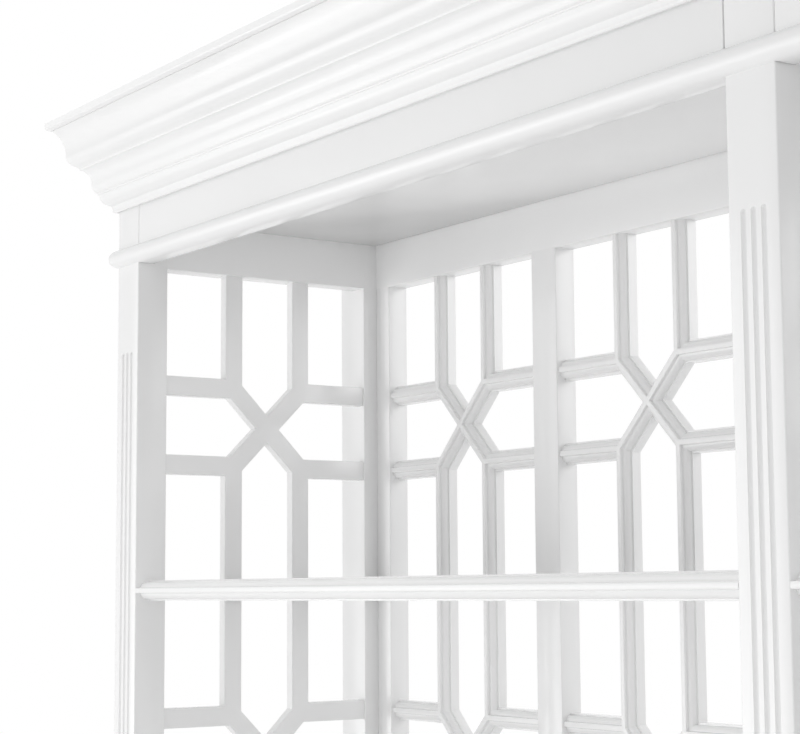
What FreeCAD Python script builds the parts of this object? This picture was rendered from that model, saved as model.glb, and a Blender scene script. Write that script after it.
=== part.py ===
import FreeCAD, Part
import os
import re
import Sketcher
from FreeCAD import Placement, Rotation, Vector

# A tall double-bay open book cabinet in painted wood, with fret panels in its sides, centre and back.
# The origin is at floor level under the middle of the whole cabinet. +X runs along the front,
# +Y towards the back and +Z up. Every size is in millimetres.

document = FreeCAD.newDocument("book_cabinet")
sheet = document.addObject("Spreadsheet::Sheet", "Sizes")
layout = document.addObject("App::VarSet", "Layout")
owners = {}
sub_parts = []


def expression(text):
    """Write each size name in a formula as a reference to the sheet or the layout."""
    return re.sub("[a-z_]+", lambda word: owners.get(word.group(), "") + word.group(), text)


def derive(name, text):
    """Keep one place or length that follows from the driving sizes."""
    layout.addProperty("App::PropertyFloat", name)
    layout.setExpression(name, expression(text))
    owners[name] = "Layout."


def value(text):
    """The number that a formula of sizes comes to."""
    return float(sheet.evalExpression(expression(text)))


def bind(thing, name, text):
    """Tie one property of a document object to a formula of sizes."""
    thing.setExpression(name, expression(text))


sizes = {
    # Carcass
    "bay_width": 1066,
    "carcass_depth": 392,
    "post_width": 57,
    "post_depth": 42,
    "rear_post_depth": 50,
    "frame_thickness": 29.4,
    "post_rounding": 1.5,
    # Heights
    "levels": 5,
    "shelf_pitch": 420,
    "plinth_height": 92.5,
    "rail_drop": 10.5,
    "frieze_drop": 5,
    "ceiling_rise": 50,
    "cornice_rise": 68,
    "cornice_height": 127,
    "cap_thickness": 12,
    # Frames behind the bays and at their sides
    "end_stile": 31,
    "mid_stile": 46.6,
    "side_rail_height": 100,
    "tenon_shoulder": 8,
    "tenon_margin": 7,
    "tenon_level_gap": 5,
    # Fret bars
    "bar_width": 25.2,
    "bar_side": 13.1,
    "bar_crown": 10.7,
    "bar_recess": 3.2,
    "fret_half": 50.5,
    # Shelves and the boards of the front
    "shelf_thickness": 25,
    "nose_depth": 19,
    "back_clearance": 1,
    "ceiling_thickness": 18,
    "face_board": 22,
    "face_seam": 1.2,
    "frieze_height": 100,
    "bead_height": 23.5,
    "bead_projection": 10,
    "cornice_projection": 73.5,
    # Flutes of the front posts
    "flute_pitch": 11.6,
    "flute_radius": 3.1,
    "flute_inset": 113,
    # Dowels
    "dowel_radius": 4,
    "dowel_length": 40,
    "dowel_setback": 25,
    "bore_clearance": 0.1,
    "overrun": 5,
}
for row, (name, number) in enumerate(sizes.items(), 1):
    sheet.set("A%d" % row, name)
    sheet.set("B%d" % row, str(number))
    sheet.setAlias("B%d" % row, name)
    owners[name] = "Sizes."

derive("half_width", "bay_width + 1.5 * post_width")
derive("front_plane", "(cornice_projection - carcass_depth) / 2")
derive("back_plane", "front_plane + carcass_depth")
derive("rear_plane", "back_plane - rear_post_depth")
derive("back_frame_plane", "back_plane - frame_thickness")
derive("inner_plane", "half_width - post_width")
derive("side_opening", "carcass_depth - post_depth - rear_post_depth")
derive("panel_width", "(bay_width - end_stile - 2 * mid_stile) / 3")
derive("recess", "post_width - frame_thickness")
derive("base_level", "plinth_height + shelf_thickness / 2")
derive("head_level", "base_level + levels * shelf_pitch")
derive("frame_low", "base_level + rail_drop")
derive("frame_high", "head_level - rail_drop")
derive("frieze_low", "head_level - frieze_drop")
derive("ceiling_low", "head_level + ceiling_rise")
derive("cornice_low", "head_level + cornice_rise")
derive("cabinet_height", "cornice_low + cornice_height")
derive("post_height", "cabinet_height - cap_thickness")
derive("tenon_thickness", "frame_thickness / 3")
derive("tenon_cheek", "(frame_thickness - tenon_thickness) / 2")
derive("tenon_length", "rear_post_depth - frame_thickness + tenon_cheek - tenon_margin")
document.recompute()


# Solids from outlines

def origin_plane(body, role):
    return next(plane for plane in body.Origin.OriginFeatures if plane.Role == role)


def edge(start, end, bow):
    """A straight or bowed edge of an outline, and which of its ends comes first."""
    if not bow:
        return Part.LineSegment(start, end), (1, 2)
    chord = end - start
    outward = Vector(chord.y, -chord.x, 0).normalize() * (1 if bow > 0 else -1)
    rise = abs(bow) * chord.Length
    radius = chord.Length ** 2 / (8 * rise) + rise / 2
    centre = (start + end) / 2 + outward * (rise - radius)
    first, last = (start, end) if bow > 0 else (end, start)
    circle = Part.Circle(centre, Vector(0, 0, 1), radius)
    arc = Part.ArcOfCircle(circle, circle.parameter(first), circle.parameter(last))
    return arc, (1, 2) if bow > 0 else (2, 1)


def outline(body, name, role, points):
    """A closed sketch, counter-clockwise, on one origin plane of its body.

    A point is a pair of formulas. A third formula bows the edge that follows it outwards, or
    inwards where it is negative, by that share of the edge's length.
    """
    drawn = body.newObject("Sketcher::SketchObject", name)
    drawn.AttachmentSupport = [(origin_plane(body, role), "")]
    drawn.MapMode = "FlatFace"
    corners = [Vector(value(point[0]), value(point[1]), 0) for point in points]
    bows = [value(point[2]) if len(point) > 2 else 0 for point in points]
    following = [(index + 1) % len(points) for index in range(len(points))]
    edges = [edge(corners[index], corners[after], bows[index]) for index, after in enumerate(following)]
    for shape, ends in edges:
        drawn.addGeometry(shape)
    for index, after in enumerate(following):
        drawn.addConstraint(Sketcher.Constraint("Coincident", index, edges[index][1][1],
                                                after, edges[after][1][0]))
    for index, point in enumerate(points):
        first = edges[index][1][0]
        for kind, number, text in (("DistanceX", corners[index].x, point[0]),
                                   ("DistanceY", corners[index].y, point[1])):
            fixed = drawn.addConstraint(Sketcher.Constraint(kind, -1, 1, index, first, number))
            bind(drawn, "Constraints[%d]" % fixed, text)
        if bows[index]:
            after = points[following[index]]
            run = "sqrt((%s - (%s)) ^ 2 + (%s - (%s)) ^ 2)" % (after[0], point[0], after[1], point[1])
            radius = "%s * (1 / (8 * abs(%s)) + abs(%s) / 2)" % (run, point[2], point[2])
            fixed = drawn.addConstraint(Sketcher.Constraint("Radius", index, value(radius)))
            bind(drawn, "Constraints[%d]" % fixed, radius)
    return drawn


def prism(body, name, axis, points, low, high):
    """Pad an outline along X, Y or Z, from one formula of a place to another."""
    role = {"X": "YZ_Plane", "Y": "XZ_Plane", "Z": "XY_Plane"}[axis]
    drawn = outline(body, name + "_outline", role, points)
    # The normal of the XZ plane points along -Y.
    bind(drawn, "AttachmentOffset.Base.z", "-(%s)" % low if axis == "Y" else low)
    padded = body.newObject("PartDesign::Pad", name)
    padded.Profile = drawn
    padded.Reversed = axis == "Y"
    bind(padded, "Length", "%s - (%s)" % (high, low))
    return padded


def rectangle(low, high):
    return [(low[0], low[1]), (high[0], low[1]), (high[0], high[1]), (low[0], high[1])]


def block(body, name, axis, low, high):
    """Pad a rectangular block between two corners, along X, Y or Z."""
    along = "XYZ".index(axis)
    across = [index for index in range(3) if index != along]
    face = rectangle([low[index] for index in across], [high[index] for index in across])
    return prism(body, name, axis, face, low[along], high[along])


def cut_through(body, name, role, points):
    """Cut an outline right through the body, both ways from its plane."""
    drawn = outline(body, name + "_outline", role, points)
    pocket = body.newObject("PartDesign::Pocket", name)
    pocket.Profile = drawn
    pocket.Type = "ThroughAll"
    pocket.Midplane = True
    return pocket


def put(thing, x="0", y="0", z="0", turn=0):
    """Place an object, turned about Z by whole degrees, at formulas of sizes."""
    thing.Placement = Placement(Vector(0, 0, 0), Rotation(Vector(0, 0, 1), turn))
    for axis, text in zip("xyz", (x, y, z)):
        bind(thing, "Placement.Base." + axis, text)
    return thing


def finish(name, thing, *cutters):
    """Register a sub-part, after the pieces that enter it have cut their seats."""
    if cutters:
        tool = document.addObject("Part::Compound", name + "_seats")
        tool.Links = list(cutters)
        uncut = thing
        thing = document.addObject("Part::Cut", name)
        thing.Base = uncut
        thing.Tool = tool
    thing.Label = name
    sub_parts.append(thing)
    return thing


def new_body(name):
    body = document.addObject("PartDesign::Body", name)
    return body


def group(name, shapes):
    """Several loose solids of one kind as one object."""
    made = document.addObject("Part::Feature", name)
    made.Shape = Part.makeCompound(shapes)
    return made


# Dowels that hold the boards between the posts

def dowels(name, places, growth):
    """Dowels along X, centred on the given places."""
    radius = value("dowel_radius") + growth
    length = value("dowel_length") + 2 * growth
    along = Vector(1, 0, 0)
    pins = [Part.makeCylinder(radius, length, place - along * length / 2, along) for place in places]
    return group(name, pins)


def dowel_places(depths, heights):
    """Where dowels cross the joints between the boards and the posts of both bays."""
    ends = [value("inner_plane"), value("post_width / 2")]
    return [Vector(side * end, value(depth), value(height))
            for side in (-1, 1) for end in ends for depth in depths for height in heights]


def board_levels():
    """The mid-heights of the bottom boards, the shelves and the ceilings."""
    shelves = ["base_level + %d * shelf_pitch" % level for level in range(round(value("levels")))]
    return shelves + ["ceiling_low + ceiling_thickness / 2"]


board_depths = ["front_plane + dowel_setback", "(rear_plane + back_frame_plane) / 2"]
face_depths = ["front_plane + face_board / 2"]
face_heights = ["frieze_low + frieze_height / 4", "frieze_low + frieze_height * 3 / 4",
                "plinth_height / 4", "plinth_height * 3 / 4"]
board_places = dowel_places(board_depths, board_levels())
face_places = dowel_places(face_depths, face_heights)
finish("shelf_dowels", dowels("shelf_dowels", board_places, 0))
finish("face_board_dowels", dowels("face_board_dowels", face_places, 0))
bores = dowels("dowel_bores", board_places + face_places, value("bore_clearance"))


# Side frames and centre divider

def side_rail(name, x, thickness, low, high, tenon_low, tenon_high):
    """A rail from front post to rear post, with a tenon at each end."""
    cheek = "(%s - tenon_thickness) / 2" % thickness
    body = new_body(name)
    block(body, name + "_rail", "Y", ["0", "0", "0"], [thickness, "side_opening", "%s - (%s)" % (high, low)])
    block(body, name + "_tenon", "Y", [cheek, "-tenon_length", "%s - (%s)" % (tenon_low, low)],
          [cheek + " + tenon_thickness", "side_opening + tenon_length", "%s - (%s)" % (tenon_high, low)])
    return finish(name, put(body, x, "front_plane + post_depth", low))


def side_rails(side, x, thickness):
    """The top and bottom rails of one side frame."""
    top = side_rail(side + "_top_rail", x, thickness, "frame_high", "frame_high + side_rail_height",
                    "frame_high + tenon_shoulder", "ceiling_low - tenon_level_gap")
    bottom = side_rail(side + "_bottom_rail", x, thickness, "0", "frame_low",
                       "tenon_shoulder", "plinth_height - tenon_level_gap")
    return [top, bottom]


left_rails = side_rails("left_side", "-inner_plane - frame_thickness", "frame_thickness")
right_rails = side_rails("right_side", "inner_plane", "frame_thickness")
divider_rails = side_rails("divider", "-post_width / 2", "post_width")


# Back frames, one behind each bay

def back_stile(name, x, width):
    """An upright between the rails of a back frame, tenoned into both."""
    body = new_body(name)
    block(body, name + "_upright", "Z", ["0", "0", "0"], [width, "frame_thickness", "frame_high - frame_low"])
    block(body, name + "_tenon", "Z", ["tenon_shoulder", "tenon_cheek", "-tenon_length"],
          [width + " - tenon_shoulder", "tenon_cheek + tenon_thickness",
           "frame_high - frame_low + tenon_length"])
    return finish(name, put(body, x, "back_frame_plane", "frame_low"))


def back_rail(name, x, low, high, tenon_low, tenon_high, stiles):
    """A rail across one bay, tenoned into the rear posts and mortised for its stiles."""
    body = new_body(name + "_uncut")
    block(body, name + "_rail", "X", ["0", "0", "0"], ["bay_width", "frame_thickness", "%s - (%s)" % (high, low)])
    block(body, name + "_tenon", "X", ["-tenon_length", "tenon_cheek", "%s - (%s)" % (tenon_low, low)],
          ["bay_width + tenon_length", "tenon_cheek + tenon_thickness", "%s - (%s)" % (tenon_high, low)])
    return finish(name, put(body, x, "back_frame_plane", low), *stiles)


def back_frame(bay, start, stiles):
    """The stiles and rails of one back frame."""
    uprights = [back_stile("%s_back_%s" % (bay, name), x, width) for name, x, width in stiles]
    rails = [back_rail(bay + "_back_top_rail", start, "frame_high", "post_height",
                       "frame_high + tenon_shoulder", "ceiling_low - tenon_level_gap", uprights),
             back_rail(bay + "_back_bottom_rail", start, "0", "frame_low",
                       "tenon_shoulder", "plinth_height - tenon_level_gap", uprights)]
    return rails


left_back_rails = back_frame("left", "-inner_plane", [
    ("end_stile", "-inner_plane", "end_stile"),
    ("outer_stile", "-inner_plane + end_stile + panel_width", "mid_stile"),
    ("inner_stile", "-inner_plane + end_stile + 2 * panel_width + mid_stile", "mid_stile")])
right_back_rails = back_frame("right", "post_width / 2", [
    ("end_stile", "inner_plane - end_stile", "end_stile"),
    ("outer_stile", "inner_plane - end_stile - panel_width - mid_stile", "mid_stile"),
    ("inner_stile", "inner_plane - end_stile - 2 * panel_width - 2 * mid_stile", "mid_stile")])


# Posts

def flutes(name, x):
    """The three round-ended hollows down the face of one front post."""
    radius = value("flute_radius")
    low = value("base_level + flute_inset + flute_radius")
    high = value("frieze_low - flute_inset - flute_radius")
    hollows = []
    for step in (-1, 0, 1):
        foot = Vector(value(x) + step * value("flute_pitch"), value("front_plane"), low)
        head = Vector(foot.x, foot.y, high)
        hollow = Part.makeCylinder(radius, high - low, foot)
        hollows.append(hollow.fuse([Part.makeSphere(radius, foot), Part.makeSphere(radius, head)]))
    return group(name, hollows)


def front_post(name, centre, rails):
    """A fluted post, with its front arrises eased."""
    body = new_body(name + "_uncut")
    blank = block(body, name + "_blank", "Z", ["0", "0", "0"], ["post_width", "post_depth", "post_height"])
    document.recompute()
    arrises = ["Edge%d" % (number + 1) for number, line in enumerate(blank.Shape.Edges)
               if abs(line.tangentAt(0).z) > 0.9 and line.CenterOfMass.y < value("post_depth / 2")]
    eased = body.newObject("PartDesign::Fillet", name + "_arrises")
    eased.Base = (blank, arrises)
    bind(eased, "Radius", "post_rounding")
    put(body, "%s - post_width / 2" % centre, "front_plane", "0")
    return finish(name, body, flutes(name + "_flutes", centre), bores, *rails)


def rear_post(name, centre, rails):
    """A plain rear post, behind each front post."""
    body = new_body(name + "_uncut")
    block(body, name + "_blank", "Z", ["0", "0", "0"], ["post_width", "rear_post_depth", "post_height"])
    put(body, "%s - post_width / 2" % centre, "rear_plane", "0")
    return finish(name, body, bores, *rails)


front_post("left_front_post", "-(bay_width + post_width)", left_rails)
front_post("centre_front_post", "0", divider_rails)
front_post("right_front_post", "bay_width + post_width", right_rails)
rear_post("left_rear_post", "-(bay_width + post_width)", left_rails + left_back_rails)
rear_post("centre_rear_post", "0", divider_rails + left_back_rails + right_back_rails)
rear_post("right_rear_post", "bay_width + post_width", right_rails + right_back_rails)


# Reeded edges of the fret bars and shelves

# From one arris to the middle: the outer quirk, the inner quirk and the shoulder of the middle band,
# each as shares of the way across and of the way out. The bows are those of the edges between them.
reed_place_shares = [0, 0.085, 0.355, 0.38]
reed_depth_shares = [0, 0, 0.65, 0.97]
reed_bow_shares = [0, 0.207, 0]


def reeds(width, depth):
    """A reeded edge from its far arris to its near one: place across, place out, and bow."""
    places = reed_place_shares + [1 - share for share in reversed(reed_place_shares)]
    depths = reed_depth_shares + reed_depth_shares[::-1]
    middle_bow = "%s * %s / (%s * %s)" % (1 - reed_depth_shares[-1], depth,
                                          1 - 2 * reed_place_shares[-1], width)
    bows = [str(share) for share in reed_bow_shares] + [middle_bow]
    bows += [str(share) for share in reversed(reed_bow_shares)]
    points = []
    for place, out, bow in zip(places, depths, bows + [None]):
        points.append(("%s * (1 - %s)" % (width, place), "%s * %s" % (depth, out), bow))
    return points


def bar_section(double):
    """The section of a fret bar: reeded in front, and flat or reeded behind."""
    core = "(frame_thickness - 2 * bar_crown)" if double else "bar_side"
    reeded = reeds("bar_width", "bar_crown")
    section = []
    if double:
        for across, out, bow in reeded:
            section.append(("%s" % out, "bar_width / 2 - %s" % across, bow))
    else:
        section += [("0", "-bar_width / 2", None), ("0", "bar_width / 2", None)]
    for across, out, bow in reeded:
        section.append(("-%s - %s" % (core, out), "%s - bar_width / 2" % across, bow))
    return [(point[0], point[1], point[2]) if point[2] else (point[0], point[1]) for point in section]


def mitre(name, body, start, way, slopes):
    """Cut one end of a bar to a point, at the slopes of its two mitres."""
    reach = "(bar_width / 2 + overrun)"
    far = "%s - %s * overrun" % (start, way)
    upper = "%s + %s * %s * %s" % (start, way, slopes[0], reach)
    lower = "%s + %s * %s * %s" % (start, way, slopes[1], reach)
    points = [(start, "0"), (upper, reach), (far, reach), (far, "-" + reach), (lower, "-" + reach)]
    return cut_through(body, name, "XZ_Plane", points if way == "1" else points[::-1])


def fret_bar(name, length, double, first, last=None):
    """A bar along X, mitred at its first end and mitred or square at its last."""
    body = new_body(name)
    prism(body, name + "_bar", "X", bar_section(double), "0", length)
    mitre(name + "_first_mitre", body, "0", "1", first)
    if last:
        mitre(name + "_last_mitre", body, length, "-1", last)
    return body


# Slopes of the mitres at the junctions of three bars, and where the diagonals cross.
square_slope = "1"
blunt_slope = "(sqrt(2) - 1)"

# Degrees from an arm to an upright, and to a bar of the cross that runs in to the crossing.
upward_turn = 90
inward_turn = 2.5 * upward_turn


def fret_kit(name, opening, double):
    """The four kinds of bar that make one fret: arm, upright, end upright and cross."""
    return [fret_bar(name + "_arm", "(%s / 2 - fret_half)" % opening, double, (square_slope, blunt_slope)),
            fret_bar(name + "_upright", "(shelf_pitch - 2 * fret_half)", double,
                     (blunt_slope, square_slope), (blunt_slope, square_slope)),
            fret_bar(name + "_end_upright", "(shelf_pitch / 2 - fret_half - rail_drop)", double,
                     (blunt_slope, square_slope)),
            fret_bar(name + "_cross", "(fret_half * sqrt(2))", double,
                     (blunt_slope, blunt_slope), (square_slope, square_slope))]


def moved(shape, x, z, turn):
    """A copy of a bar turned in the plane of the fret, with its first end at a place."""
    copy = shape.copy()
    copy.rotate(Vector(0, 0, 0), Vector(0, -1, 0), turn)
    copy.translate(Vector(x, 0, z))
    return copy


def both_sides(shapes):
    return shapes + [shape.mirror(Vector(0, 0, 0), Vector(1, 0, 0)) for shape in shapes]


def both_ways(shapes, height):
    """The shapes and their mirror images below a height."""
    return shapes + [shape.mirror(Vector(0, 0, height), Vector(0, 0, 1)) for shape in shapes]


def fret(name, kit, x, y, turn):
    """A fret from rail to rail, its bars mitred round one crossing for each compartment."""
    arm, upright, end_upright, cross = [bar.Shape for bar in kit]
    half = value("fret_half")
    pitch = value("shelf_pitch")
    count = round(value("levels"))
    bars = []
    for level in range(count):
        middle = pitch * level + pitch / 2
        quarter = [moved(arm, half, middle + half, 0), moved(cross, half, middle + half, inward_turn)]
        bars += both_ways(both_sides(quarter), middle)
        if level + 1 < count:
            bars += both_sides([moved(upright, half, middle + half, upward_turn)])
    end = both_sides([moved(end_upright, half, pitch * count - pitch / 2 + half, upward_turn)])
    bars += both_ways(end, pitch * count / 2)
    return finish(name, put(group(name, bars), x, y, "base_level", turn))


back_kit = fret_kit("back_fret", "panel_width", False)
side_kit = fret_kit("side_fret", "side_opening", False)
divider_kit = fret_kit("divider_fret", "side_opening", True)
document.recompute()

side_middle = "(front_plane + post_depth + rear_plane) / 2"
fret("left_side_fret", side_kit, "-inner_plane - bar_recess", side_middle, -90)
fret("right_side_fret", side_kit, "inner_plane + bar_recess", side_middle, 90)
fret("divider_fret", divider_kit, "bar_crown - frame_thickness / 2", side_middle, 90)
for number in range(3):
    inset = "end_stile + panel_width / 2 + %d * (panel_width + mid_stile)" % number
    behind = "back_plane - bar_recess"
    fret("left_back_fret_%d" % (number + 1), back_kit, "-inner_plane + " + inset, behind, 0)
    fret("right_back_fret_%d" % (number + 1), back_kit, "inner_plane - (%s)" % inset, behind, 0)


# Shelves, bottom boards and ceilings

def shelf(name, x, level):
    """A board across one bay, with a reeded nose flush with the posts."""
    depth = "carcass_depth - frame_thickness - back_clearance"
    nose = [("nose_depth - " + out, across, bow) if bow else ("nose_depth - " + out, across)
            for across, out, bow in reeds("shelf_thickness", "nose_depth")]
    body = new_body(name + "_uncut")
    prism(body, name + "_board", "X", [(depth, "0"), (depth, "shelf_thickness")] + nose, "0", "bay_width")
    height = "base_level + %d * shelf_pitch - shelf_thickness / 2" % level
    return finish(name, put(body, x, "front_plane", height), bores)


def plain_board(name, low, high):
    """A plain board across one bay, doweled at its ends."""
    body = new_body(name + "_uncut")
    lengths = ["%s - (%s)" % (above, below) for below, above in zip(low, high)]
    block(body, name + "_board", "X", ["0", "0", "0"], lengths)
    return finish(name, put(body, *low), bores)


for bay, start in (("left", "-inner_plane"), ("right", "post_width / 2")):
    shelf(bay + "_bottom_board", start, 0)
    for level in range(1, round(value("levels"))):
        shelf("%s_shelf_%d" % (bay, level), start, level)
    plain_board(bay + "_ceiling", [start, "front_plane + face_board", "ceiling_low"],
                [start + " + bay_width", "back_frame_plane - back_clearance", "ceiling_low + ceiling_thickness"])
    seamed = [start + " + face_seam", start + " + bay_width - face_seam"]
    plain_board(bay + "_frieze", [seamed[0], "front_plane", "frieze_low"],
                [seamed[1], "front_plane + face_board", "frieze_low + frieze_height"])
    plain_board(bay + "_plinth", [start, "front_plane", "0"],
                [start + " + bay_width", "front_plane + face_board", "plinth_height"])


# Boards that fill the sides between the posts, outside the frames

def side_board(name, x, low, high):
    body = new_body(name)
    block(body, name + "_board", "Y", ["0", "0", "0"], ["recess", "side_opening", "%s - (%s)" % (high, low)])
    return finish(name, put(body, x, "front_plane + post_depth", low))


for side, x in (("left", "-half_width"), ("right", "half_width - recess")):
    side_board(side + "_side_frieze", x, "frieze_low", "frieze_low + frieze_height")
    side_board(side + "_side_plinth", x, "0", "plinth_height")


# Cornice and bead, mitred round the front corners

# The cornice from its foot up: shares of its projection and of its height, and the bow of the
# edge below each point.
cornice_shares = [(0, 0, 0), (0.06, 0, 0), (0.084, 0.024, 0.15), (0.1, 0.068, 0), (0.115, 0.073, 0),
                  (0.271, 0.19, 0.1), (0.29, 0.196, 0), (0.294, 0.209, 0), (0.365, 0.303, 0.11),
                  (0.365, 0.339, 0), (0.49, 0.458, -0.16), (0.525, 0.468, 0), (0.55, 0.5, 0),
                  (0.585, 0.509, 0), (0.718, 0.677, 0.09), (0.718, 0.7, 0), (0.898, 0.879, -0.066),
                  (0.955, 0.9, 0), (0.996, 0.943, 0.12), (1, 0.976, 0), (0.972, 1, 0.12), (0, 1, 0)]
cornice_section = [("-cornice_projection * %s" % out, "cornice_height * %s" % up, str(bow))
                   for out, up, bow in reversed(cornice_shares)]
bead_section = [("0", "0"), ("0", "bead_height", "bead_projection / bead_height")]


def moulding(name, section, start, end, mitres, x, y, z, turn):
    """A length of moulding along X with its back on its own Y = 0, mitred at the ends named."""
    body = new_body(name)
    prism(body, name + "_run", "X", section, start, end)
    document.recompute()
    for way, corner in mitres:
        wide = "(cornice_projection + overrun)"
        points = [("%s - %s * overrun" % (corner, way), "overrun"),
                  ("%s + %s * %s" % (corner, way, wide), "-" + wide),
                  ("%s + %s * %s" % (corner, way, wide), "overrun")]
        cut_through(body, "%s_mitre_%d" % (name, len(body.Group)), "XY_Plane",
                    points if way == "1" else points[::-1])
    return finish(name, put(body, x, y, z, turn))


def surround(name, section, projection, height):
    """Three lengths of one moulding round the front and both sides."""
    moulding("front_" + name, section, "-half_width - " + projection, "half_width + " + projection,
             [("1", "half_width"), ("-1", "-half_width")], "0", "front_plane", height, 0)
    moulding("left_" + name, section, "-back_plane", projection + " - front_plane",
             [("1", "-front_plane")], "-half_width", "0", height, -90)
    moulding("right_" + name, section, "front_plane - " + projection, "back_plane",
             [("-1", "front_plane")], "half_width", "0", height, 90)


surround("cornice", cornice_section, "cornice_projection", "cornice_low")
surround("bead", bead_section, "bead_projection", "frieze_low")


# Cap board on the posts, inside the cornice
cap = new_body("cap_board")
block(cap, "cap_board_panel", "Z", ["0", "0", "0"], ["2 * half_width", "carcass_depth", "cap_thickness"])
finish("cap_board", put(cap, "-half_width", "front_plane", "post_height"))

document.recompute()

for thing in document.Objects:
    if "Invalid" in thing.State or "Error" in thing.State:
        raise RuntimeError(thing.Label + " failed: " + ", ".join(thing.State))
os.makedirs("parts", exist_ok=True)
for thing in sub_parts:
    if thing.Shape.isNull() or not thing.Shape.isValid():
        raise RuntimeError(thing.Label + " has no valid shape")
    thing.Shape.exportStep("parts/" + thing.Label + ".step")
print(len(sub_parts), "sub-parts written")
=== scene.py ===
import math

import bmesh
import bpy
from mathutils import Matrix, Vector


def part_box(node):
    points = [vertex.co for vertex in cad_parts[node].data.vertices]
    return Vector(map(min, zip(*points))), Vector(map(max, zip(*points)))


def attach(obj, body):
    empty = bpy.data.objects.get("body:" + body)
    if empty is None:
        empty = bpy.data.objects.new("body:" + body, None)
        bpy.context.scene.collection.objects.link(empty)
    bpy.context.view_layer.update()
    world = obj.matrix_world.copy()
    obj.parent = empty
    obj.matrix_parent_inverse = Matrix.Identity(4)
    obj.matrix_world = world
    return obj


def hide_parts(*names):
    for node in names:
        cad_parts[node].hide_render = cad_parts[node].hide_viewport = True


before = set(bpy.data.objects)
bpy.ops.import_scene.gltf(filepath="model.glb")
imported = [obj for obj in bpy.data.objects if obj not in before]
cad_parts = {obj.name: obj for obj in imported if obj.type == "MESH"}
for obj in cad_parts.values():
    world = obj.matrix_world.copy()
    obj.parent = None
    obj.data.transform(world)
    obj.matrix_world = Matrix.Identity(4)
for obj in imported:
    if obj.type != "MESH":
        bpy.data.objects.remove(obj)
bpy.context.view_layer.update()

# Front posts. Each is one length of planed poplar with three round-ended flutes run down its face
# and its arrises eased. The flutes stop short of the frieze above and of the plinth below, and the
# whole cabinet is sprayed with semi-gloss white lacquer after it has been put together.

mm = 0.001


def linear(colour):
    """Turn a hex sRGB colour into the linear one that a shader takes."""
    shares = [int(colour[place:place + 2], 16) / 255 for place in (1, 3, 5)]
    bent = [share / 12.92 if share <= 0.04045 else ((share + 0.055) / 1.055) ** 2.4 for share in shares]
    return bent + [1]


def add(tree, kind, links=None, **settings):
    """Add a node with its settings, and link its inputs or set them."""
    node = tree.nodes.new(kind)
    for name, setting in settings.items():
        setattr(node, name, setting)
    for socket, source in (links or {}).items():
        if isinstance(source, bpy.types.NodeSocket):
            tree.links.new(source, node.inputs[socket])
        else:
            node.inputs[socket].default_value = source
    return node


# Semi-gloss white lacquer over poplar looks nearly even. Broad soft lights run along its edges, and
# only a low light shows that it has pores and orange peel. Real pores are half as wide as these and
# would not show. The cloud is a drift of tone from the thickness of the sprayed coats.
pore_width = 1.5 * mm
pore_length = 60 * mm
peel_pitch = 4 * mm
peel_height = 0.01 * mm
cloud_width = 250 * mm


def lacquer(name, along, grain_height, gloss):
    """White lacquer over wood whose grain runs along X, Y or Z, or shows no way at all."""
    material = bpy.data.materials.new(name)
    material.use_nodes = True
    tree = material.node_tree
    tree.nodes.clear()
    place = add(tree, "ShaderNodeTexCoord").outputs["Object"]
    grain_scale = [1 / pore_length if axis == along else 1 / pore_width for axis in "XYZ"]
    stretched = add(tree, "ShaderNodeMapping", {"Vector": place, "Scale": grain_scale})
    grain = add(tree, "ShaderNodeTexNoise", {"Vector": stretched.outputs[0], "Scale": 1, "Detail": 2})
    peel = add(tree, "ShaderNodeTexNoise", {"Vector": place, "Scale": 1 / peel_pitch, "Detail": 1})
    cloud = add(tree, "ShaderNodeTexNoise", {"Vector": place, "Scale": 1 / cloud_width, "Detail": 3})
    tone = add(tree, "ShaderNodeMix", {0: cloud.outputs[0], 6: linear("#F3F3F3"), 7: linear("#F7F7F7")},
               data_type="RGBA")
    sheen = add(tree, "ShaderNodeMapRange", {0: cloud.outputs[0], 1: 0.3, 2: 0.7,
                                             3: gloss - 0.04, 4: gloss + 0.05})
    telegraphed = add(tree, "ShaderNodeBump", {"Height": grain.outputs[0], "Distance": grain_height,
                                               "Strength": 1})
    swelled = add(tree, "ShaderNodeBump", {"Height": peel.outputs[0], "Distance": peel_height,
                                           "Strength": 1, "Normal": telegraphed.outputs[0]})
    surface = add(tree, "ShaderNodeBsdfPrincipled", {"Base Color": tone.outputs[2],
                                                     "Roughness": sheen.outputs[0],
                                                     "Normal": swelled.outputs[0],
                                                     "IOR": 1.5})
    add(tree, "ShaderNodeOutputMaterial", {"Surface": surface.outputs[0]})
    return material


def low(node):
    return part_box(node)[0]


def high(node):
    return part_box(node)[1]


def dress(name, mesh, material, *nodes, crease=28):
    """Make a mesh the piece that stands for its CAD nodes, smooth except at its arrises."""
    while mesh.materials:
        mesh.materials.pop()
    mesh.materials.append(material)
    mesh.shade_smooth()
    mesh.set_sharp_from_angle(angle=math.radians(crease))
    made = bpy.data.objects.new(name, mesh)
    bpy.context.scene.collection.objects.link(made)
    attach(made, "root")
    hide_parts(*nodes)
    return made


def new_tree(name, sockets):
    """An empty Geometry Nodes tree with a geometry output and named inputs."""
    tree = bpy.data.node_groups.new(name, "GeometryNodeTree")
    for label, kind in sockets:
        tree.interface.new_socket(label, in_out="INPUT", socket_type="NodeSocket" + kind)
    tree.interface.new_socket("Geometry", in_out="OUTPUT", socket_type="NodeSocketGeometry")
    return tree


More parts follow.
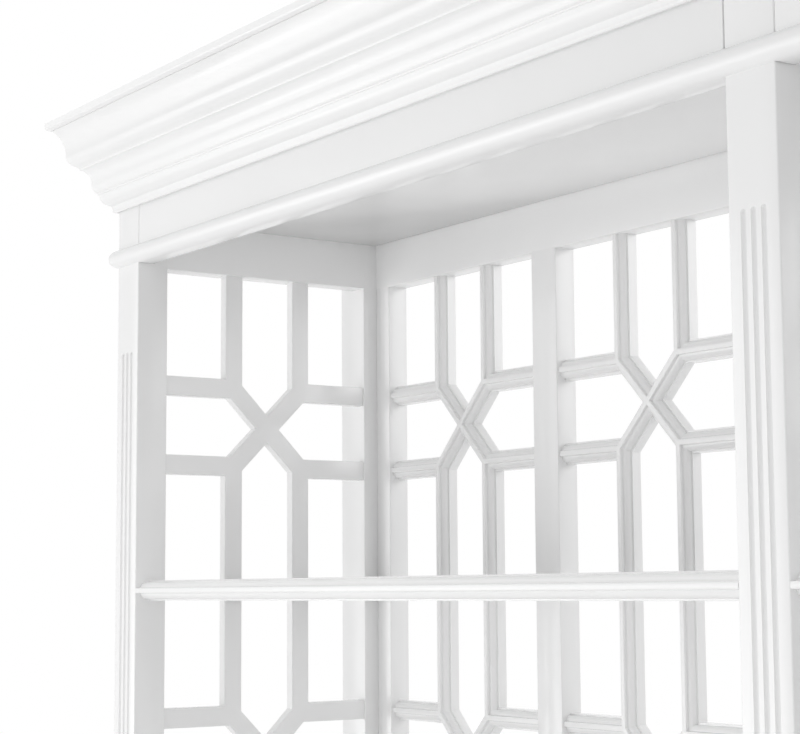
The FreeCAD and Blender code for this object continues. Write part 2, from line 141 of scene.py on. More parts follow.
def grow(name, tree, **values):
    """The plain mesh that a Geometry Nodes tree makes of the values of its inputs."""
    seed = bpy.data.objects.new(name, bpy.data.meshes.new(name))
    bpy.context.scene.collection.objects.link(seed)
    modifier = seed.modifiers.new(name, "NODES")
    modifier.node_group = tree
    for socket in tree.interface.items_tree:
        if socket.in_out == "INPUT":
            modifier[socket.identifier] = values[socket.name.lower().replace(" ", "_")]
    view = bpy.context.evaluated_depsgraph_get()
    grown = bpy.data.meshes.new_from_object(seed.evaluated_get(view), preserve_all_data_layers=True,
                                            depsgraph=view)
    seed.modifiers.clear()
    bpy.data.objects.remove(seed)
    return grown


post_rounding = 1.5 * mm
lacquered_post = lacquer("lacquered_poplar_upright", along="Z", grain_height=0.006 * mm, gloss=0.2)

fluted = new_tree("fluted_post", [("Width", "Float"), ("Depth", "Float"), ("Height", "Float"),
                                  ("Rounding", "Float"), ("Flutes", "Int"), ("Pitch", "Float"),
                                  ("Radius", "Float"), ("Start", "Float"), ("Run", "Float"),
                                  ("Finish", "Material")])
given = add(fluted, "NodeGroupInput").outputs
outline = add(fluted, "GeometryNodeCurvePrimitiveQuadrilateral", {"Width": given["Width"],
                                                                 "Height": given["Depth"]})
eased = add(fluted, "GeometryNodeFilletCurve", {"Curve": outline.outputs[0], "Count": 4,
                                                "Radius": given["Rounding"], "Limit Radius": True},
            mode="POLY")
top = add(fluted, "ShaderNodeCombineXYZ", {"Z": given["Height"]})
upright = add(fluted, "GeometryNodeCurvePrimitiveLine", {"End": top.outputs[0]})
blank = add(fluted, "GeometryNodeCurveToMesh", {"Curve": upright.outputs[0],
                                                "Profile Curve": eased.outputs[0],
                                                "Fill Caps": True})
# A ball with an odd number of rings has none round its middle, so pulled apart it is a round-ended rod.
ball = add(fluted, "GeometryNodeMeshUVSphere", {"Segments": 24, "Rings": 15, "Radius": given["Radius"]})
point = add(fluted, "GeometryNodeInputPosition").outputs[0]
upper = add(fluted, "ShaderNodeSeparateXYZ", {0: point}).outputs["Z"]
way = add(fluted, "ShaderNodeMath", {0: upper}, operation="SIGN").outputs[0]
half_run = add(fluted, "ShaderNodeMath", {0: given["Run"], 1: 0.5}, operation="MULTIPLY").outputs[0]
pull = add(fluted, "ShaderNodeMath", {0: way, 1: half_run}, operation="MULTIPLY").outputs[0]
pulled = add(fluted, "ShaderNodeCombineXYZ", {"Z": pull}).outputs[0]
rod = add(fluted, "GeometryNodeSetPosition", {"Geometry": ball.outputs["Mesh"], "Offset": pulled})
gaps = add(fluted, "ShaderNodeMath", {0: given["Flutes"], 1: 1}, operation="SUBTRACT").outputs[0]
spread = add(fluted, "ShaderNodeMath", {0: gaps, 1: given["Pitch"]}, operation="MULTIPLY").outputs[0]
first = add(fluted, "ShaderNodeMath", {0: spread, 1: -0.5}, operation="MULTIPLY").outputs[0]
face = add(fluted, "ShaderNodeMath", {0: given["Depth"], 1: -0.5}, operation="MULTIPLY").outputs[0]
middle = add(fluted, "ShaderNodeMath", {0: given["Start"], 1: half_run}, operation="ADD").outputs[0]
foot = add(fluted, "ShaderNodeCombineXYZ", {"X": first, "Y": face, "Z": middle}).outputs[0]
step = add(fluted, "ShaderNodeCombineXYZ", {"X": given["Pitch"]}).outputs[0]
row = add(fluted, "GeometryNodeMeshLine", {"Count": given["Flutes"], "Start Location": foot,
                                           "Offset": step})
rods = add(fluted, "GeometryNodeInstanceOnPoints", {"Points": row.outputs[0],
                                                    "Instance": rod.outputs[0]})
loose = add(fluted, "GeometryNodeRealizeInstances", {0: rods.outputs[0]})
cut = add(fluted, "GeometryNodeMeshBoolean", {"Mesh 1": blank.outputs[0], "Mesh 2": loose.outputs[0]},
          operation="DIFFERENCE", solver="EXACT")
whole = add(fluted, "GeometryNodeRealizeInstances", {0: cut.outputs[0]})
painted = add(fluted, "GeometryNodeSetMaterial", {"Geometry": whole.outputs[0],
                                                  "Material": given["Finish"]})
add(fluted, "NodeGroupOutput", {0: painted.outputs[0]})

# The flutes end a flute_inset short of the frieze and of the bottom board's upper face.
flute_inset = 113 * mm
flute_radius = 3.1 * mm
flute_pitch = 11.6 * mm
board_over_plinth = 12.5 * mm
for side in ("left", "centre", "right"):
    node = side + "_front_post"
    base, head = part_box(node)
    board_top = high("left_plinth").z + board_over_plinth
    start = board_top + flute_inset + flute_radius
    run = low("left_frieze").z - flute_inset - flute_radius - start
    mesh = grow(node, fluted, width=head.x - base.x, depth=head.y - base.y, height=head.z - base.z,
                rounding=post_rounding, flutes=3, pitch=flute_pitch, radius=flute_radius,
                start=start, run=run, finish=lacquered_post)
    mesh.transform(Matrix.Translation(Vector(((base.x + head.x) / 2, (base.y + head.y) / 2, base.z))))
    dress(side + "_fluted_post", mesh, lacquered_post, node)


# Rear posts. Plain poplar behind each front post, mortised for the rails of the side and back
# frames, with every long arris eased by a few passes of a block plane.

def prism(axis, outline, start, end):
    """A closed solid from an outline in the plane across an axis, from one place on it to another."""
    shape = bmesh.new()
    rings = []
    for place in (start, end):
        ring = []
        for first, second in outline:
            corner = {"X": (place, first, second), "Y": (first, place, second), "Z": (first, second, place)}
            ring.append(shape.verts.new(corner[axis]))
        rings.append(ring)
    shape.faces.new(rings[0])
    shape.faces.new(rings[1])
    for index in range(len(outline)):
        after = (index + 1) % len(outline)
        shape.faces.new((rings[0][index], rings[0][after], rings[1][after], rings[1][index]))
    bmesh.ops.recalc_face_normals(shape, faces=shape.faces)
    return shape


# An arris is an outer edge where the faces turn by more than this.
arris_turn = math.radians(50)
nearly_along = 0.99


def ease(shape, rounding, axes):
    """Round the arrises that run along the axes named."""
    arrises = []
    for edge in shape.edges:
        along = (edge.verts[1].co - edge.verts[0].co).normalized()
        runs = any(abs(along["XYZ".index(axis)]) > nearly_along for axis in axes)
        if runs and edge.calc_face_angle_signed(0) > arris_turn:
            arrises.append(edge)
    bmesh.ops.bevel(shape, geom=arrises, offset=rounding, segments=3, profile=0.5, affect="EDGES")
    return shape


def block(axis, base, head, rounding, axes):
    """A planed board or bar between two corners, with eased arrises."""
    across = [index for index in range(3) if index != "XYZ".index(axis)]
    corners = [(base, base), (head, base), (head, head), (base, head)]
    outline = [(first[across[0]], second[across[1]]) for first, second in corners]
    along = "XYZ".index(axis)
    return ease(prism(axis, outline, base[along], head[along]), rounding, axes)


def to_mesh(name, shape):
    mesh = bpy.data.meshes.new(name)
    shape.to_mesh(mesh)
    shape.free()
    return mesh


for side in ("left", "centre", "right"):
    node = side + "_rear_post"
    shape = block("Z", *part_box(node), post_rounding, "Z")
    dress(side + "_back_post", to_mesh(node, shape), lacquered_post, node)


# Side and divider rails. They are tenoned into the posts and flush with them inside, and the
# painted joints don't show, so each rail runs on over the eased arris of the post it meets.

lacquered_rail = lacquer("lacquered_poplar_rail_across", along="Y", grain_height=0.006 * mm, gloss=0.2)
arris = 1.2 * mm
between = (high("left_front_post").y, low("left_rear_post").y)
for side in ("left_side", "right_side", "divider"):
    for end in ("top", "bottom"):
        node = "%s_%s_rail" % (side, end)
        base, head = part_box(node)
        base.y = between[0] - post_rounding
        head.y = between[1] + post_rounding
        dress(node.replace("_rail", "_frame_rail"), to_mesh(node, block("Y", base, head, arris, "Y")),
              lacquered_rail, node)


# Back frames. Stiles are tenoned between a top and a bottom rail. The stiles run on into the rails
# by the depth of the eased arris, as a sanded and painted joint has no groove.

lacquered_back_rail = lacquer("lacquered_poplar_rail_along", along="X", grain_height=0.006 * mm, gloss=0.2)
opening_low = high("left_back_bottom_rail").z
opening_high = low("left_back_top_rail").z
for bay, first_post, last_post in (("left", "left_rear_post", "centre_rear_post"),
                                   ("right", "centre_rear_post", "right_rear_post")):
    for end in ("top", "bottom"):
        node = "%s_back_%s_rail" % (bay, end)
        base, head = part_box(node)
        base.x = high(first_post).x
        head.x = low(last_post).x
        dress(node.replace("_rail", "_frame_rail"), to_mesh(node, block("X", base, head, arris, "X")),
              lacquered_back_rail, node)
    for name in ("end", "outer", "inner"):
        node = "%s_back_%s_stile" % (bay, name)
        base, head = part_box(node)
        base.z = opening_low - arris
        head.z = opening_high + arris
        dress(node.replace("_stile", "_upright"), to_mesh(node, block("Z", base, head, arris, "Z")),
              lacquered_post, node)


# Frets. Every opening of the side, divider and back frames has a lattice of poplar bars, reeded on
# the face that the room sees and flat behind, mitred together and pinned between the frame members.

# From an arris to the middle: the outer quirk, the inner quirk and the shoulder of the middle band, as
# shares of the way across and of the way out, and the bows of the edges between them.
reed_place_shares = [0, 0.085, 0.355, 0.38]
reed_depth_shares = [0, 0, 0.65, 0.97]
reed_bow_shares = [0, 0.207, 0]
bar_rounding = 1 * mm


def bowed(start, end, bow, count=8):
    """The points of an arc after its start, bowed to its right by a share, under 0.5, of its length."""
    start, end = Vector(start), Vector(end)
    if not bow:
        return [end[:]]
    chord = end - start
    right = Vector((chord.y, -chord.x)).normalized() * (1 if bow > 0 else -1)
    rise = abs(bow) * chord.length
    radius = chord.length ** 2 / (8 * rise) + rise / 2
    centre = (start + end) / 2 + right * (rise - radius)
    half = math.asin(chord.length / 2 / radius)
    points = []
    for number in range(1, count + 1):
        turn = half * (2 * number / count - 1)
        points.append((centre + right * radius * math.cos(turn)
                       + chord.normalized() * radius * math.sin(turn))[:])
    return points


def reeds(width, depth):
    """A reeded edge from one arris to the other: places across it, and how far out."""
    places = reed_place_shares + [1 - share for share in reversed(reed_place_shares)]
    depths = reed_depth_shares + reed_depth_shares[::-1]
    middle = (1 - reed_depth_shares[-1]) * depth / ((1 - 2 * reed_place_shares[-1]) * width)
    bows = reed_bow_shares + [middle] + reed_bow_shares[::-1]
    corners = [(place * width, out * depth) for place, out in zip(places, depths)]
    points = [corners[0]]
    for start, end, bow in zip(corners, corners[1:], bows):
        points += [(across, out) for across, out in bowed(start, end, -bow)]
    return points


def bar_section(width, crown, core, double):
    """The closed outline of a fret bar: reeded in front, and flat or reeded behind."""
    front = [(core + out, across - width / 2) for across, out in reeds(width, crown)]
    if double:
        back = [(-out, across - width / 2) for across, out in reeds(width, crown)]
        return front + back[::-1]
    half = width / 2
    # Midway round an arris, the wood is cut in from each face by 0.3 of the rounding.
    cut = bar_rounding * 0.3
    back = [(bar_rounding, half), (cut, half - cut), (0, half - bar_rounding),
            (0, bar_rounding - half), (cut, cut - half), (bar_rounding, -half)]
    return front + back


def section_curve(name, points):
    """A closed curve object that a tree sweeps: how far out along X, and across along Y."""
    curve = bpy.data.curves.new(name, "CURVE")
    spline = curve.splines.new("POLY")
    spline.points.add(len(points) - 1)
    for point, (out, across) in zip(spline.points, points):
        point.co = (out, across, 0, 1)
    spline.use_cyclic_u = True
    made = bpy.data.objects.new(name, curve)
    bpy.context.scene.collection.objects.link(made)
    return made


bar = new_tree("mitred_bar", [("Section", "Geometry"), ("Length", "Float"),
                              ("Start upper", "Float"), ("Start lower", "Float"),
                              ("End upper", "Float"), ("End lower", "Float")])
given = add(bar, "NodeGroupInput").outputs
reach = add(bar, "ShaderNodeCombineXYZ", {"X": given["Length"]}).outputs[0]
line = add(bar, "GeometryNodeCurvePrimitiveLine", {"End": reach})
swept = add(bar, "GeometryNodeCurveToMesh", {"Curve": line.outputs[0],
                                             "Profile Curve": given["Section"]})
point = add(bar, "ShaderNodeSeparateXYZ", {0: add(bar, "GeometryNodeInputPosition").outputs[0]}).outputs
upper = add(bar, "ShaderNodeMath", {0: point["Z"], 1: 0}, operation="MAXIMUM").outputs[0]
lower = add(bar, "ShaderNodeMath", {0: upper, 1: point["Z"]}, operation="SUBTRACT").outputs[0]
start_upper = add(bar, "ShaderNodeMath", {0: given["Start upper"], 1: upper}, operation="MULTIPLY")
start = add(bar, "ShaderNodeMath", {0: given["Start lower"], 1: lower, 2: start_upper.outputs[0]},
            operation="MULTIPLY_ADD").outputs[0]
end_upper = add(bar, "ShaderNodeMath", {0: given["End upper"], 1: upper}, operation="MULTIPLY")
end = add(bar, "ShaderNodeMath", {0: given["End lower"], 1: lower, 2: end_upper.outputs[0]},
          operation="MULTIPLY_ADD").outputs[0]
tip = add(bar, "ShaderNodeMath", {0: given["Length"], 1: end}, operation="SUBTRACT").outputs[0]
far = add(bar, "ShaderNodeMath", {0: given["Length"], 1: 0.5}, operation="MULTIPLY").outputs[0]
at_end = add(bar, "ShaderNodeMath", {0: point["X"], 1: far}, operation="GREATER_THAN").outputs[0]
along = add(bar, "GeometryNodeSwitch", {0: at_end, 1: start, 2: tip}, input_type="FLOAT").outputs[0]
moved = add(bar, "ShaderNodeCombineXYZ", {"X": along, "Y": point["Y"], "Z": point["Z"]}).outputs[0]
mitred = add(bar, "GeometryNodeSetPosition", {"Geometry": swept.outputs[0], "Position": moved})
add(bar, "NodeGroupOutput", {0: mitred.outputs[0]})

# Slopes of the mitres. An arm and an upright meet at a right angle, as the legs of the cross do in
# its middle, and the cross meets both of them at a blunt angle.
square_slope = 1
blunt_slope = math.tan(math.radians(22.5))

weld_distance = 0.02 * mm
lattice = new_tree("fret", [("Section", "Object"), ("Opening", "Float"), ("Pitch", "Float"),
                            ("Levels", "Int"), ("Half", "Float"), ("End gap", "Float"),
                            ("Finish", "Material")])
given = add(lattice, "NodeGroupInput").outputs
section = add(lattice, "GeometryNodeObjectInfo", {"Object": given["Section"]}).outputs["Geometry"]
half = given["Half"]
pitch = given["Pitch"]
half_opening = add(lattice, "ShaderNodeMath", {0: given["Opening"], 1: 0.5},
                   operation="MULTIPLY").outputs[0]
half_pitch = add(lattice, "ShaderNodeMath", {0: pitch, 1: 0.5}, operation="MULTIPLY").outputs[0]
arm_length = add(lattice, "ShaderNodeMath", {0: half_opening, 1: half}, operation="SUBTRACT").outputs[0]
cross_length = add(lattice, "ShaderNodeMath", {0: half, 1: math.sqrt(2)},
                   operation="MULTIPLY").outputs[0]
end_reach = add(lattice, "ShaderNodeMath", {0: half_pitch, 1: half}, operation="SUBTRACT").outputs[0]
end_length = add(lattice, "ShaderNodeMath", {0: end_reach, 1: given["End gap"]},
                 operation="SUBTRACT").outputs[0]
upright_length = add(lattice, "ShaderNodeMath", {0: end_reach, 1: 2}, operation="MULTIPLY").outputs[0]
corner = add(lattice, "ShaderNodeCombineXYZ", {"X": half, "Z": half}).outputs[0]
bars = {}
for kind, length, slopes, turn in (
        ("arm", arm_length, (square_slope, blunt_slope, 0, 0), 0),
        ("cross", cross_length, (blunt_slope, blunt_slope, square_slope, square_slope), 225),
        ("upright", upright_length, (blunt_slope, square_slope, blunt_slope, square_slope), 90),
        ("end", end_length, (blunt_slope, square_slope, 0, 0), 90)):
    cut = add(lattice, "GeometryNodeGroup", node_tree=bar)
    lattice.links.new(section, cut.inputs["Section"])
    lattice.links.new(length, cut.inputs["Length"])
    for label, slope in zip(("Start upper", "Start lower", "End upper", "End lower"), slopes):
        cut.inputs[label].default_value = slope
    # The bar lies along X in the plane of the fret, and turns in it about its own first end.
    bars[kind] = add(lattice, "GeometryNodeTransform", {"Geometry": cut.outputs[0], "Translation": corner,
                                                        "Rotation": (0, -math.radians(turn), 0)}).outputs[0]
quarter = add(lattice, "GeometryNodeJoinGeometry")
lattice.links.new(bars["arm"], quarter.inputs[0])
lattice.links.new(bars["cross"], quarter.inputs[0])
sides = {}
for kind, shape in (("quarter", quarter.outputs[0]), ("upright", bars["upright"]), ("end", bars["end"])):
    turned = add(lattice, "GeometryNodeTransform", {"Geometry": shape, "Scale": (-1, 1, 1)})
    pair = add(lattice, "GeometryNodeJoinGeometry")
    lattice.links.new(shape, pair.inputs[0])
    lattice.links.new(turned.outputs[0], pair.inputs[0])
    sides[kind] = pair.outputs[0]
below = add(lattice, "GeometryNodeTransform", {"Geometry": sides["quarter"], "Scale": (1, 1, -1)})
crossing = add(lattice, "GeometryNodeJoinGeometry")
lattice.links.new(sides["quarter"], crossing.inputs[0])
lattice.links.new(below.outputs[0], crossing.inputs[0])
rise = add(lattice, "ShaderNodeCombineXYZ", {"Z": pitch}).outputs[0]
first = add(lattice, "ShaderNodeCombineXYZ", {"Z": half_pitch}).outputs[0]
levels = add(lattice, "GeometryNodeMeshLine", {"Count": given["Levels"], "Start Location": first,
                                               "Offset": rise})
crossings = add(lattice, "GeometryNodeInstanceOnPoints", {"Points": levels.outputs[0],
                                                          "Instance": crossing.outputs[0]})
joints = add(lattice, "ShaderNodeMath", {0: given["Levels"], 1: 1}, operation="SUBTRACT").outputs[0]
spans = add(lattice, "GeometryNodeMeshLine", {"Count": joints, "Start Location": first, "Offset": rise})
uprights = add(lattice, "GeometryNodeInstanceOnPoints", {"Points": spans.outputs[0],
                                                         "Instance": sides["upright"]})
joints_rise = add(lattice, "ShaderNodeMath", {0: joints, 1: pitch, 2: half_pitch},
                  operation="MULTIPLY_ADD").outputs[0]
head = add(lattice, "ShaderNodeCombineXYZ", {"Z": joints_rise}).outputs[0]
upper_end = add(lattice, "GeometryNodeTransform", {"Geometry": sides["end"], "Translation": head})
lower_end = add(lattice, "GeometryNodeTransform", {"Geometry": sides["end"], "Translation": first,
                                                   "Scale": (1, 1, -1)})
everything = add(lattice, "GeometryNodeJoinGeometry")
for part in (crossings, uprights, upper_end, lower_end):
    lattice.links.new(part.outputs[0], everything.inputs[0])
whole = add(lattice, "GeometryNodeRealizeInstances", {0: everything.outputs[0]})
welded = add(lattice, "GeometryNodeMergeByDistance", {"Geometry": whole.outputs[0],
                                                      "Distance": weld_distance})
painted = add(lattice, "GeometryNodeSetMaterial", {"Geometry": welded.outputs[0],
                                                   "Material": given["Finish"]})
add(lattice, "NodeGroupOutput", {0: painted.outputs[0]})

lacquered_fret = lacquer("lacquered_reeded_bar", along="", grain_height=0.002 * mm, gloss=0.19)
bar_width = 25.2 * mm
# The bar's depth is a plain core with the reeded crown on it.
bar_core = 13.1 * mm
bar_crown = 10.7 * mm
# From the middle of a crossing to the lines that its arms and uprights run on.
fret_half = 50.5 * mm
# Reeds meet at blunter angles than planed arrises do, and still have to look crisp.
bar_crease = 14
shelf_pitch = 420 * mm
levels_of_shelves = 5
end_gap = (levels_of_shelves * shelf_pitch - (high("left_side_fret").z - low("left_side_fret").z)) / 2
frame_thickness = high("divider_fret").x - low("divider_fret").x
single = section_curve("single_bar", bar_section(bar_width, bar_crown, bar_core, False))
double_core = frame_thickness - 2 * bar_crown
double = section_curve("double_bar", bar_section(bar_width, bar_crown, double_core, True))


def fret(node, section, turn, depth):
    """Grow one fret and stand it in its opening, its reeded face to -Y before it is turned."""
    base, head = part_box(node)
    middle = (base + head) / 2
    opening = head.x - base.x if turn == 0 else head.y - base.y
    mesh = grow(node, lattice, section=section, opening=opening, pitch=shelf_pitch,
                levels=levels_of_shelves, half=fret_half, end_gap=end_gap, finish=lacquered_fret)
    shape = bmesh.new()
    shape.from_mesh(mesh)
    bmesh.ops.holes_fill(shape, edges=[edge for edge in shape.edges if edge.is_boundary])
    bmesh.ops.recalc_face_normals(shape, faces=shape.faces)
    shape.to_mesh(mesh)
    shape.free()
    mesh.transform(Matrix.Translation(Vector((0, depth / 2, base.z - end_gap))))
    mesh.transform(Matrix.Rotation(math.radians(turn), 4, "Z"))
    mesh.transform(Matrix.Translation(Vector((middle.x, middle.y, 0))))
    dress(node.replace("_fret", "_lattice"), mesh, lacquered_fret, node, crease=bar_crease)


fret("left_side_fret", single, -90, bar_core + bar_crown)
fret("right_side_fret", single, 90, bar_core + bar_crown)
fret("divider_fret", double, 90, frame_thickness)
for bay in ("left", "right"):
    for number in range(1, 4):
        fret("%s_back_fret_%d" % (bay, number), single, 0, bar_core + bar_crown)
bpy.data.objects.remove(single)
bpy.data.objects.remove(double)


# Shelves and bottom boards. Each is one poplar board with a reeded nose flush with the posts. It
# butts between them and is held by two dowels at each end.

lacquered_shelf = lacquer("lacquered_shelf_board", along="X", grain_height=0.003 * mm, gloss=0.19)
nose_depth = 19 * mm
nose_crease = 18
shelf_rounding = 0.6 * mm


def shelf(node, name):
    base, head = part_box(node)
    thickness = head.z - base.z
    nose = [(base.y + nose_depth - out, base.z + across) for across, out in reeds(thickness, nose_depth)]
    shape = prism("X", [(head.y, head.z), (head.y, base.z)] + nose, base.x, head.x)
    dress(name, to_mesh(node, ease(shape, shelf_rounding, "X")), lacquered_shelf, node, crease=nose_crease)


for bay in ("left", "right"):
    shelf(bay + "_bottom_board", bay + "_reeded_bottom_board")
    for level in range(1, 5):
        shelf("%s_shelf_%d" % (bay, level), "%s_reeded_shelf_%d" % (bay, level))


# Ceilings. A plain lacquered board closes each bay above the frieze's lower edge. It is let in
# between the frieze, the posts and the back frame, and its painted face shows from below.

lacquered_board = lacquer("lacquered_smooth_board", along="X", grain_height=0.003 * mm, gloss=0.18)
board_rounding = 0.5 * mm
for bay in ("left", "right"):
    node = bay + "_ceiling"
    base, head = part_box(node)
    dress(bay + "_ceiling_board", to_mesh(node, block("X", base, head, board_rounding, "XY")),
          lacquered_board, node)


# Frieze and plinth boards. They are set flush between the posts, the frieze with a hairline seam at
# each end that shows dark. Shorter boards fill the sides between the front and rear posts.

seam_rounding = 0.4 * mm
for bay in ("left", "right"):
    for name in ("frieze", "plinth"):
        node = "%s_%s" % (bay, name)
        dress(node + "_board", to_mesh(node, block("X", *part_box(node), seam_rounding, "XZ")),
              lacquered_board, node)
for side in ("left", "right"):
    for name in ("frieze", "plinth"):
        node = "%s_side_%s" % (side, name)
        dress(node + "_board", to_mesh(node, block("Y", *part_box(node), seam_rounding, "YZ")),
              lacquered_board, node)


# Bead. A nearly half-round lipping of poplar, planed to shape, lacquered with the rest, and glued
# round the foot of the frieze and the posts. It is mitred at the front corners.

def moulding(profile, axis, start, end, shift, flip=1):
    """A moulding with square ends, whose outline is pairs of how far out and how high."""
    outline = [(shift + flip * out, up) for out, up in profile]
    return prism(axis, outline, start, end)


def lengths(kind, profile):
    """The front length and both side lengths of a moulding, mitred where they meet."""
    foot = low("front_" + kind).z
    outer = max(out for out, up in profile)
    posts = (low("left_front_post").x, high("right_front_post").x)
    front = low("left_front_post").y
    back = high("left_" + kind).y
    lifted = [(out, foot + up) for out, up in profile]
    shapes = {"front": moulding(lifted, "X", posts[0] - outer, posts[1] + outer, front, -1),
              "left": moulding(lifted, "Y", front - outer, back, posts[0], -1),
              "right": moulding(lifted, "Y", front - outer, back, posts[1])}
    for side, shape in shapes.items():
        # A corner point moves along its length by as much as it stands out from the posts.
        for vertex in shape.verts:
            if side == "front":
                out = front - vertex.co.y
                vertex.co.x = posts[0] - out if vertex.co.x < 0 else posts[1] + out
            elif vertex.co.y < (front + back) / 2:
                out = posts[0] - vertex.co.x if side == "left" else vertex.co.x - posts[1]
                vertex.co.y = front - out
        bmesh.ops.recalc_face_normals(shape, faces=shape.faces)
    return shapes


lacquered_moulding = lacquer("lacquered_moulding", along="", grain_height=0.003 * mm, gloss=0.2)
bead_height = high("front_bead").z - low("front_bead").z
bead_projection = low("left_front_post").y - low("front_bead").y
bead_profile = [(0, 0)] + bowed((0, 0), (0, bead_height), bead_projection / bead_height, 20)
for side, shape in lengths("bead", bead_profile).items():
    dress(side + "_half_round_bead", to_mesh(side + "_bead", shape), lacquered_moulding, side + "_bead")


# Cornice. A built-up crown of fillets, hollows and rounds, glued to the posts and mitred at the front
# corners, with its top lip furthest out. A crevice under the lip and one along the foot, which the
# lacquer doesn't bridge, draw thin dark lines.

cornice_height = high("front_cornice").z - low("front_cornice").z
cornice_projection = low("left_front_post").y - low("front_cornice").y
# From the foot up: shares of the projection and of the height, and the bow of the edge that ends there.
cornice_shares = [(0, 0.014, 0), (0.03, 0.014, 0), (0.03, 0, 0), (0.06, 0, 0), (0.084, 0.024, 0.15),
                  (0.1, 0.068, 0), (0.115, 0.073, 0), (0.262, 0.163, 0.13), (0.271, 0.192, 0),
                  (0.29, 0.196, 0), (0.294, 0.209, 0), (0.334, 0.235, 0.15), (0.365, 0.303, 0.05),
                  (0.368, 0.318, 0), (0.485, 0.456, -0.115), (0.532, 0.464, 0), (0.538, 0.48, 0),
                  (0.585, 0.503, 0), (0.712, 0.612, 0.15), (0.898, 0.888, -0.094), (0.898, 0.9, 0),
                  (0.912, 0.9, 0), (0.915, 0.89, 0), (0.978, 0.9, 0), (0.998, 0.93, 0.15),
                  (1, 0.976, 0), (0.972, 1, 0.12), (0, 1, 0)]
cornice_profile = [(0, cornice_shares[0][1] * cornice_height)]
for out, up, bow in cornice_shares[1:]:
    point = (out * cornice_projection, up * cornice_height)
    cornice_profile += bowed(cornice_profile[-1], point, bow, 14)
for side, shape in lengths("cornice", cornice_profile).items():
    dress(side + "_crown_cornice", to_mesh(side + "_cornice", shape), lacquered_moulding, side + "_cornice")


# Cap board. A thin board closes the top inside the cornice. It lies out of sight, so it is primed
# and never lacquered.

# Primer alone is matt, and it leaves the grain deeper than the lacquer does.
primed_board = lacquer("primed_board", along="X", grain_height=0.02 * mm, gloss=0.6)
dress("primed_cap_board", to_mesh("cap_board", block("X", *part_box("cap_board"), board_rounding, "XY")),
      primed_board, "cap_board")


# Dowels. Pins cut from beech rod, glued into the ends of the boards and into the posts. They sit
# inside the joints and are never painted, so they show warm wood with fine flecks.

fleck_width = 0.8 * mm
fleck_length = 12 * mm
fleck_depth = 0.05 * mm
beech = bpy.data.materials.new("beech_dowel_rod")
beech.use_nodes = True
tree = beech.node_tree
tree.nodes.clear()
place = add(tree, "ShaderNodeTexCoord").outputs["Object"]
# All dowels lie along X, and so do their flecks.
drawn = add(tree, "ShaderNodeMapping", {"Vector": place,
                                        "Scale": (1 / fleck_length, 1 / fleck_width, 1 / fleck_width)})
fleck = add(tree, "ShaderNodeTexNoise", {"Vector": drawn.outputs[0], "Scale": 1, "Detail": 3})
wood = add(tree, "ShaderNodeMix", {0: fleck.outputs[0], 6: linear("#C49A6C"), 7: linear("#DDBB90")},
           data_type="RGBA")
pore = add(tree, "ShaderNodeBump", {"Height": fleck.outputs[0], "Distance": fleck_depth, "Strength": 1})
surface = add(tree, "ShaderNodeBsdfPrincipled", {"Base Color": wood.outputs[2], "Roughness": 0.55,
                                                 "Normal": pore.outputs[0], "IOR": 1.5})
add(tree, "ShaderNodeOutputMaterial", {"Surface": surface.outputs[0]})
for node in ("shelf_dowels", "face_board_dowels"):
    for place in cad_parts[node].material_slots:
        place.material = beech


# Room. A plain floor in matt pale paint, whose patches hardly differ, a white surround that the
# camera and the gloss see, and soft boxes. Most of the light is the even light of the surround.

floor_mesh = bpy.data.meshes.new("studio_floor")
half_floor = 8
floor_corners = [(-half_floor, -half_floor, 0), (half_floor, -half_floor, 0),
                 (half_floor, half_floor, 0), (-half_floor, half_floor, 0)]
floor_mesh.from_pydata(floor_corners, [], [(0, 1, 2, 3)])
floor = bpy.data.objects.new("studio_floor", floor_mesh)
bpy.context.scene.collection.objects.link(floor)
pale = bpy.data.materials.new("pale_painted_floor")
pale.use_nodes = True
tree = pale.node_tree
tree.nodes.clear()
place = add(tree, "ShaderNodeTexCoord").outputs["Object"]
patches_per_metre = 1.5
patch = add(tree, "ShaderNodeTexNoise", {"Vector": place, "Scale": patches_per_metre, "Detail": 3})
tone = add(tree, "ShaderNodeMix", {0: patch.outputs[0], 6: linear("#EDEDED"), 7: linear("#F1F1F1")},
           data_type="RGBA")
surface = add(tree, "ShaderNodeBsdfPrincipled", {"Base Color": tone.outputs[2], "Roughness": 0.6})
add(tree, "ShaderNodeOutputMaterial", {"Surface": surface.outputs[0]})
floor_mesh.materials.append(pale)

world = bpy.data.worlds.new("white_surround")
bpy.context.scene.world = world
world.use_nodes = True
tree = world.node_tree
tree.nodes.clear()
ray = add(tree, "ShaderNodeLightPath").outputs
seen = add(tree, "ShaderNodeMath", {0: ray["Is Camera Ray"], 1: ray["Is Glossy Ray"]}, operation="MAXIMUM")
seen = add(tree, "ShaderNodeMath", {0: seen.outputs[0], 1: ray["Is Transmission Ray"]}, operation="MAXIMUM")
even_light = 0.63
seen_white = 1
soft = add(tree, "ShaderNodeBackground", {"Color": linear("#FFFFFF"), "Strength": even_light})
white = add(tree, "ShaderNodeBackground", {"Color": linear("#FFFFFF"), "Strength": seen_white})
either = add(tree, "ShaderNodeMixShader", {0: seen.outputs[0], 1: soft.outputs[0], 2: white.outputs[0]})
add(tree, "ShaderNodeOutputWorld", {"Surface": either.outputs[0]})


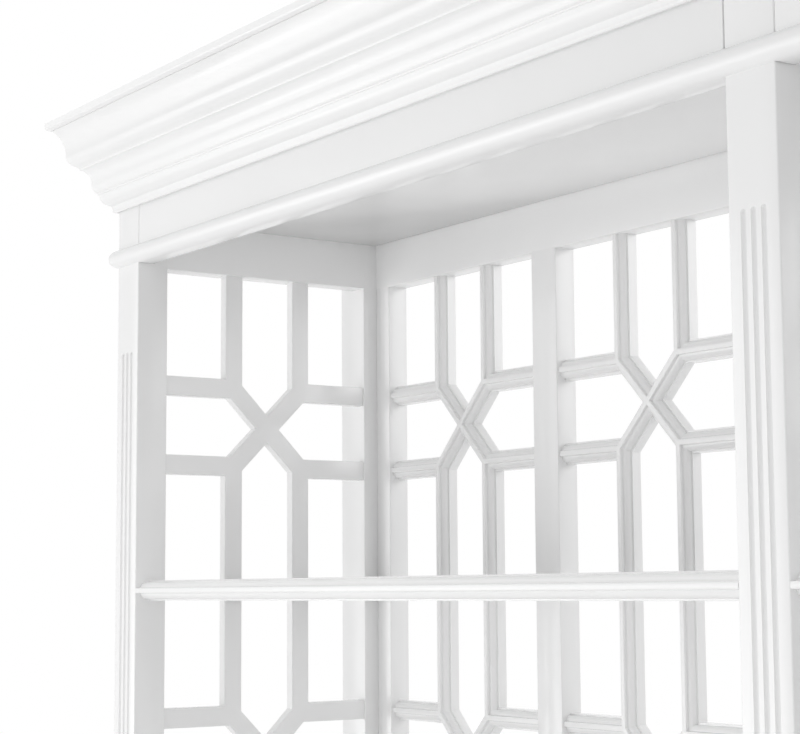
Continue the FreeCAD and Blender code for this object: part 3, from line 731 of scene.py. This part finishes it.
def soft_box(name, place, aim, width, height, power):
    """A rectangular lamp at a place, turned to its aim."""
    lamp = bpy.data.lights.new(name, "AREA")
    lamp.shape = "RECTANGLE"
    lamp.size = width
    lamp.size_y = height
    lamp.energy = power
    made = bpy.data.objects.new(name, lamp)
    bpy.context.scene.collection.objects.link(made)
    made.location = place
    made.rotation_euler = (Vector(aim) - Vector(place)).to_track_quat("-Z", "Y").to_euler()
    made.visible_camera = False


# Each lamp's degrees round from the front, to the right, its degrees up, and its power in watts.
shelves = Vector((-0.6, 0.1, 2.0))
lamp_distance = 5
lamp_width = 2.5
lamp_height = 2
for name, round_about, up, power in (("left_level", -45, 0, 22), ("left_low", -45, -18, 27),
                                     ("front_low", 0, -18, 25), ("overhead", 0, 85, 190),
                                     ("back_right", 130, 15, 44)):
    flat = lamp_distance * math.cos(math.radians(up))
    aside = math.radians(round_about)
    rise = lamp_distance * math.sin(math.radians(up))
    place = shelves + Vector((flat * math.sin(aside), -flat * math.cos(aside), rise))
    soft_box(name + "_soft_box", place, shelves, lamp_width, lamp_height, power)


# Camera. It stands in front of the right bay, near the height of the top shelf, and looks far to
# the left and a little up, at the photo's angle.

yaw = math.radians(55.745)
pitch_up = math.radians(6.594)
roll = math.radians(-0.361)
ahead = Vector((-math.sin(yaw) * math.cos(pitch_up), math.cos(yaw) * math.cos(pitch_up), math.sin(pitch_up)))
right = Vector((math.cos(yaw), math.sin(yaw), 0))
above = right.cross(ahead)
across = right * math.cos(roll) + above * math.sin(roll)
upward = above * math.cos(roll) - right * math.sin(roll)
stand = Vector((1108.2, -1257.85, 1781.8)) * mm
lens = bpy.data.cameras.new("photo_camera")
lens.sensor_width = 36
lens.lens = 87.436
camera = bpy.data.objects.new("photo_camera", lens)
bpy.context.scene.collection.objects.link(camera)
turned = Matrix((across, upward, -ahead)).transposed().to_4x4()
camera.matrix_world = Matrix.Translation(stand) @ turned
bpy.context.scene.camera = camera
bpy.context.scene.view_settings.view_transform = "Standard"
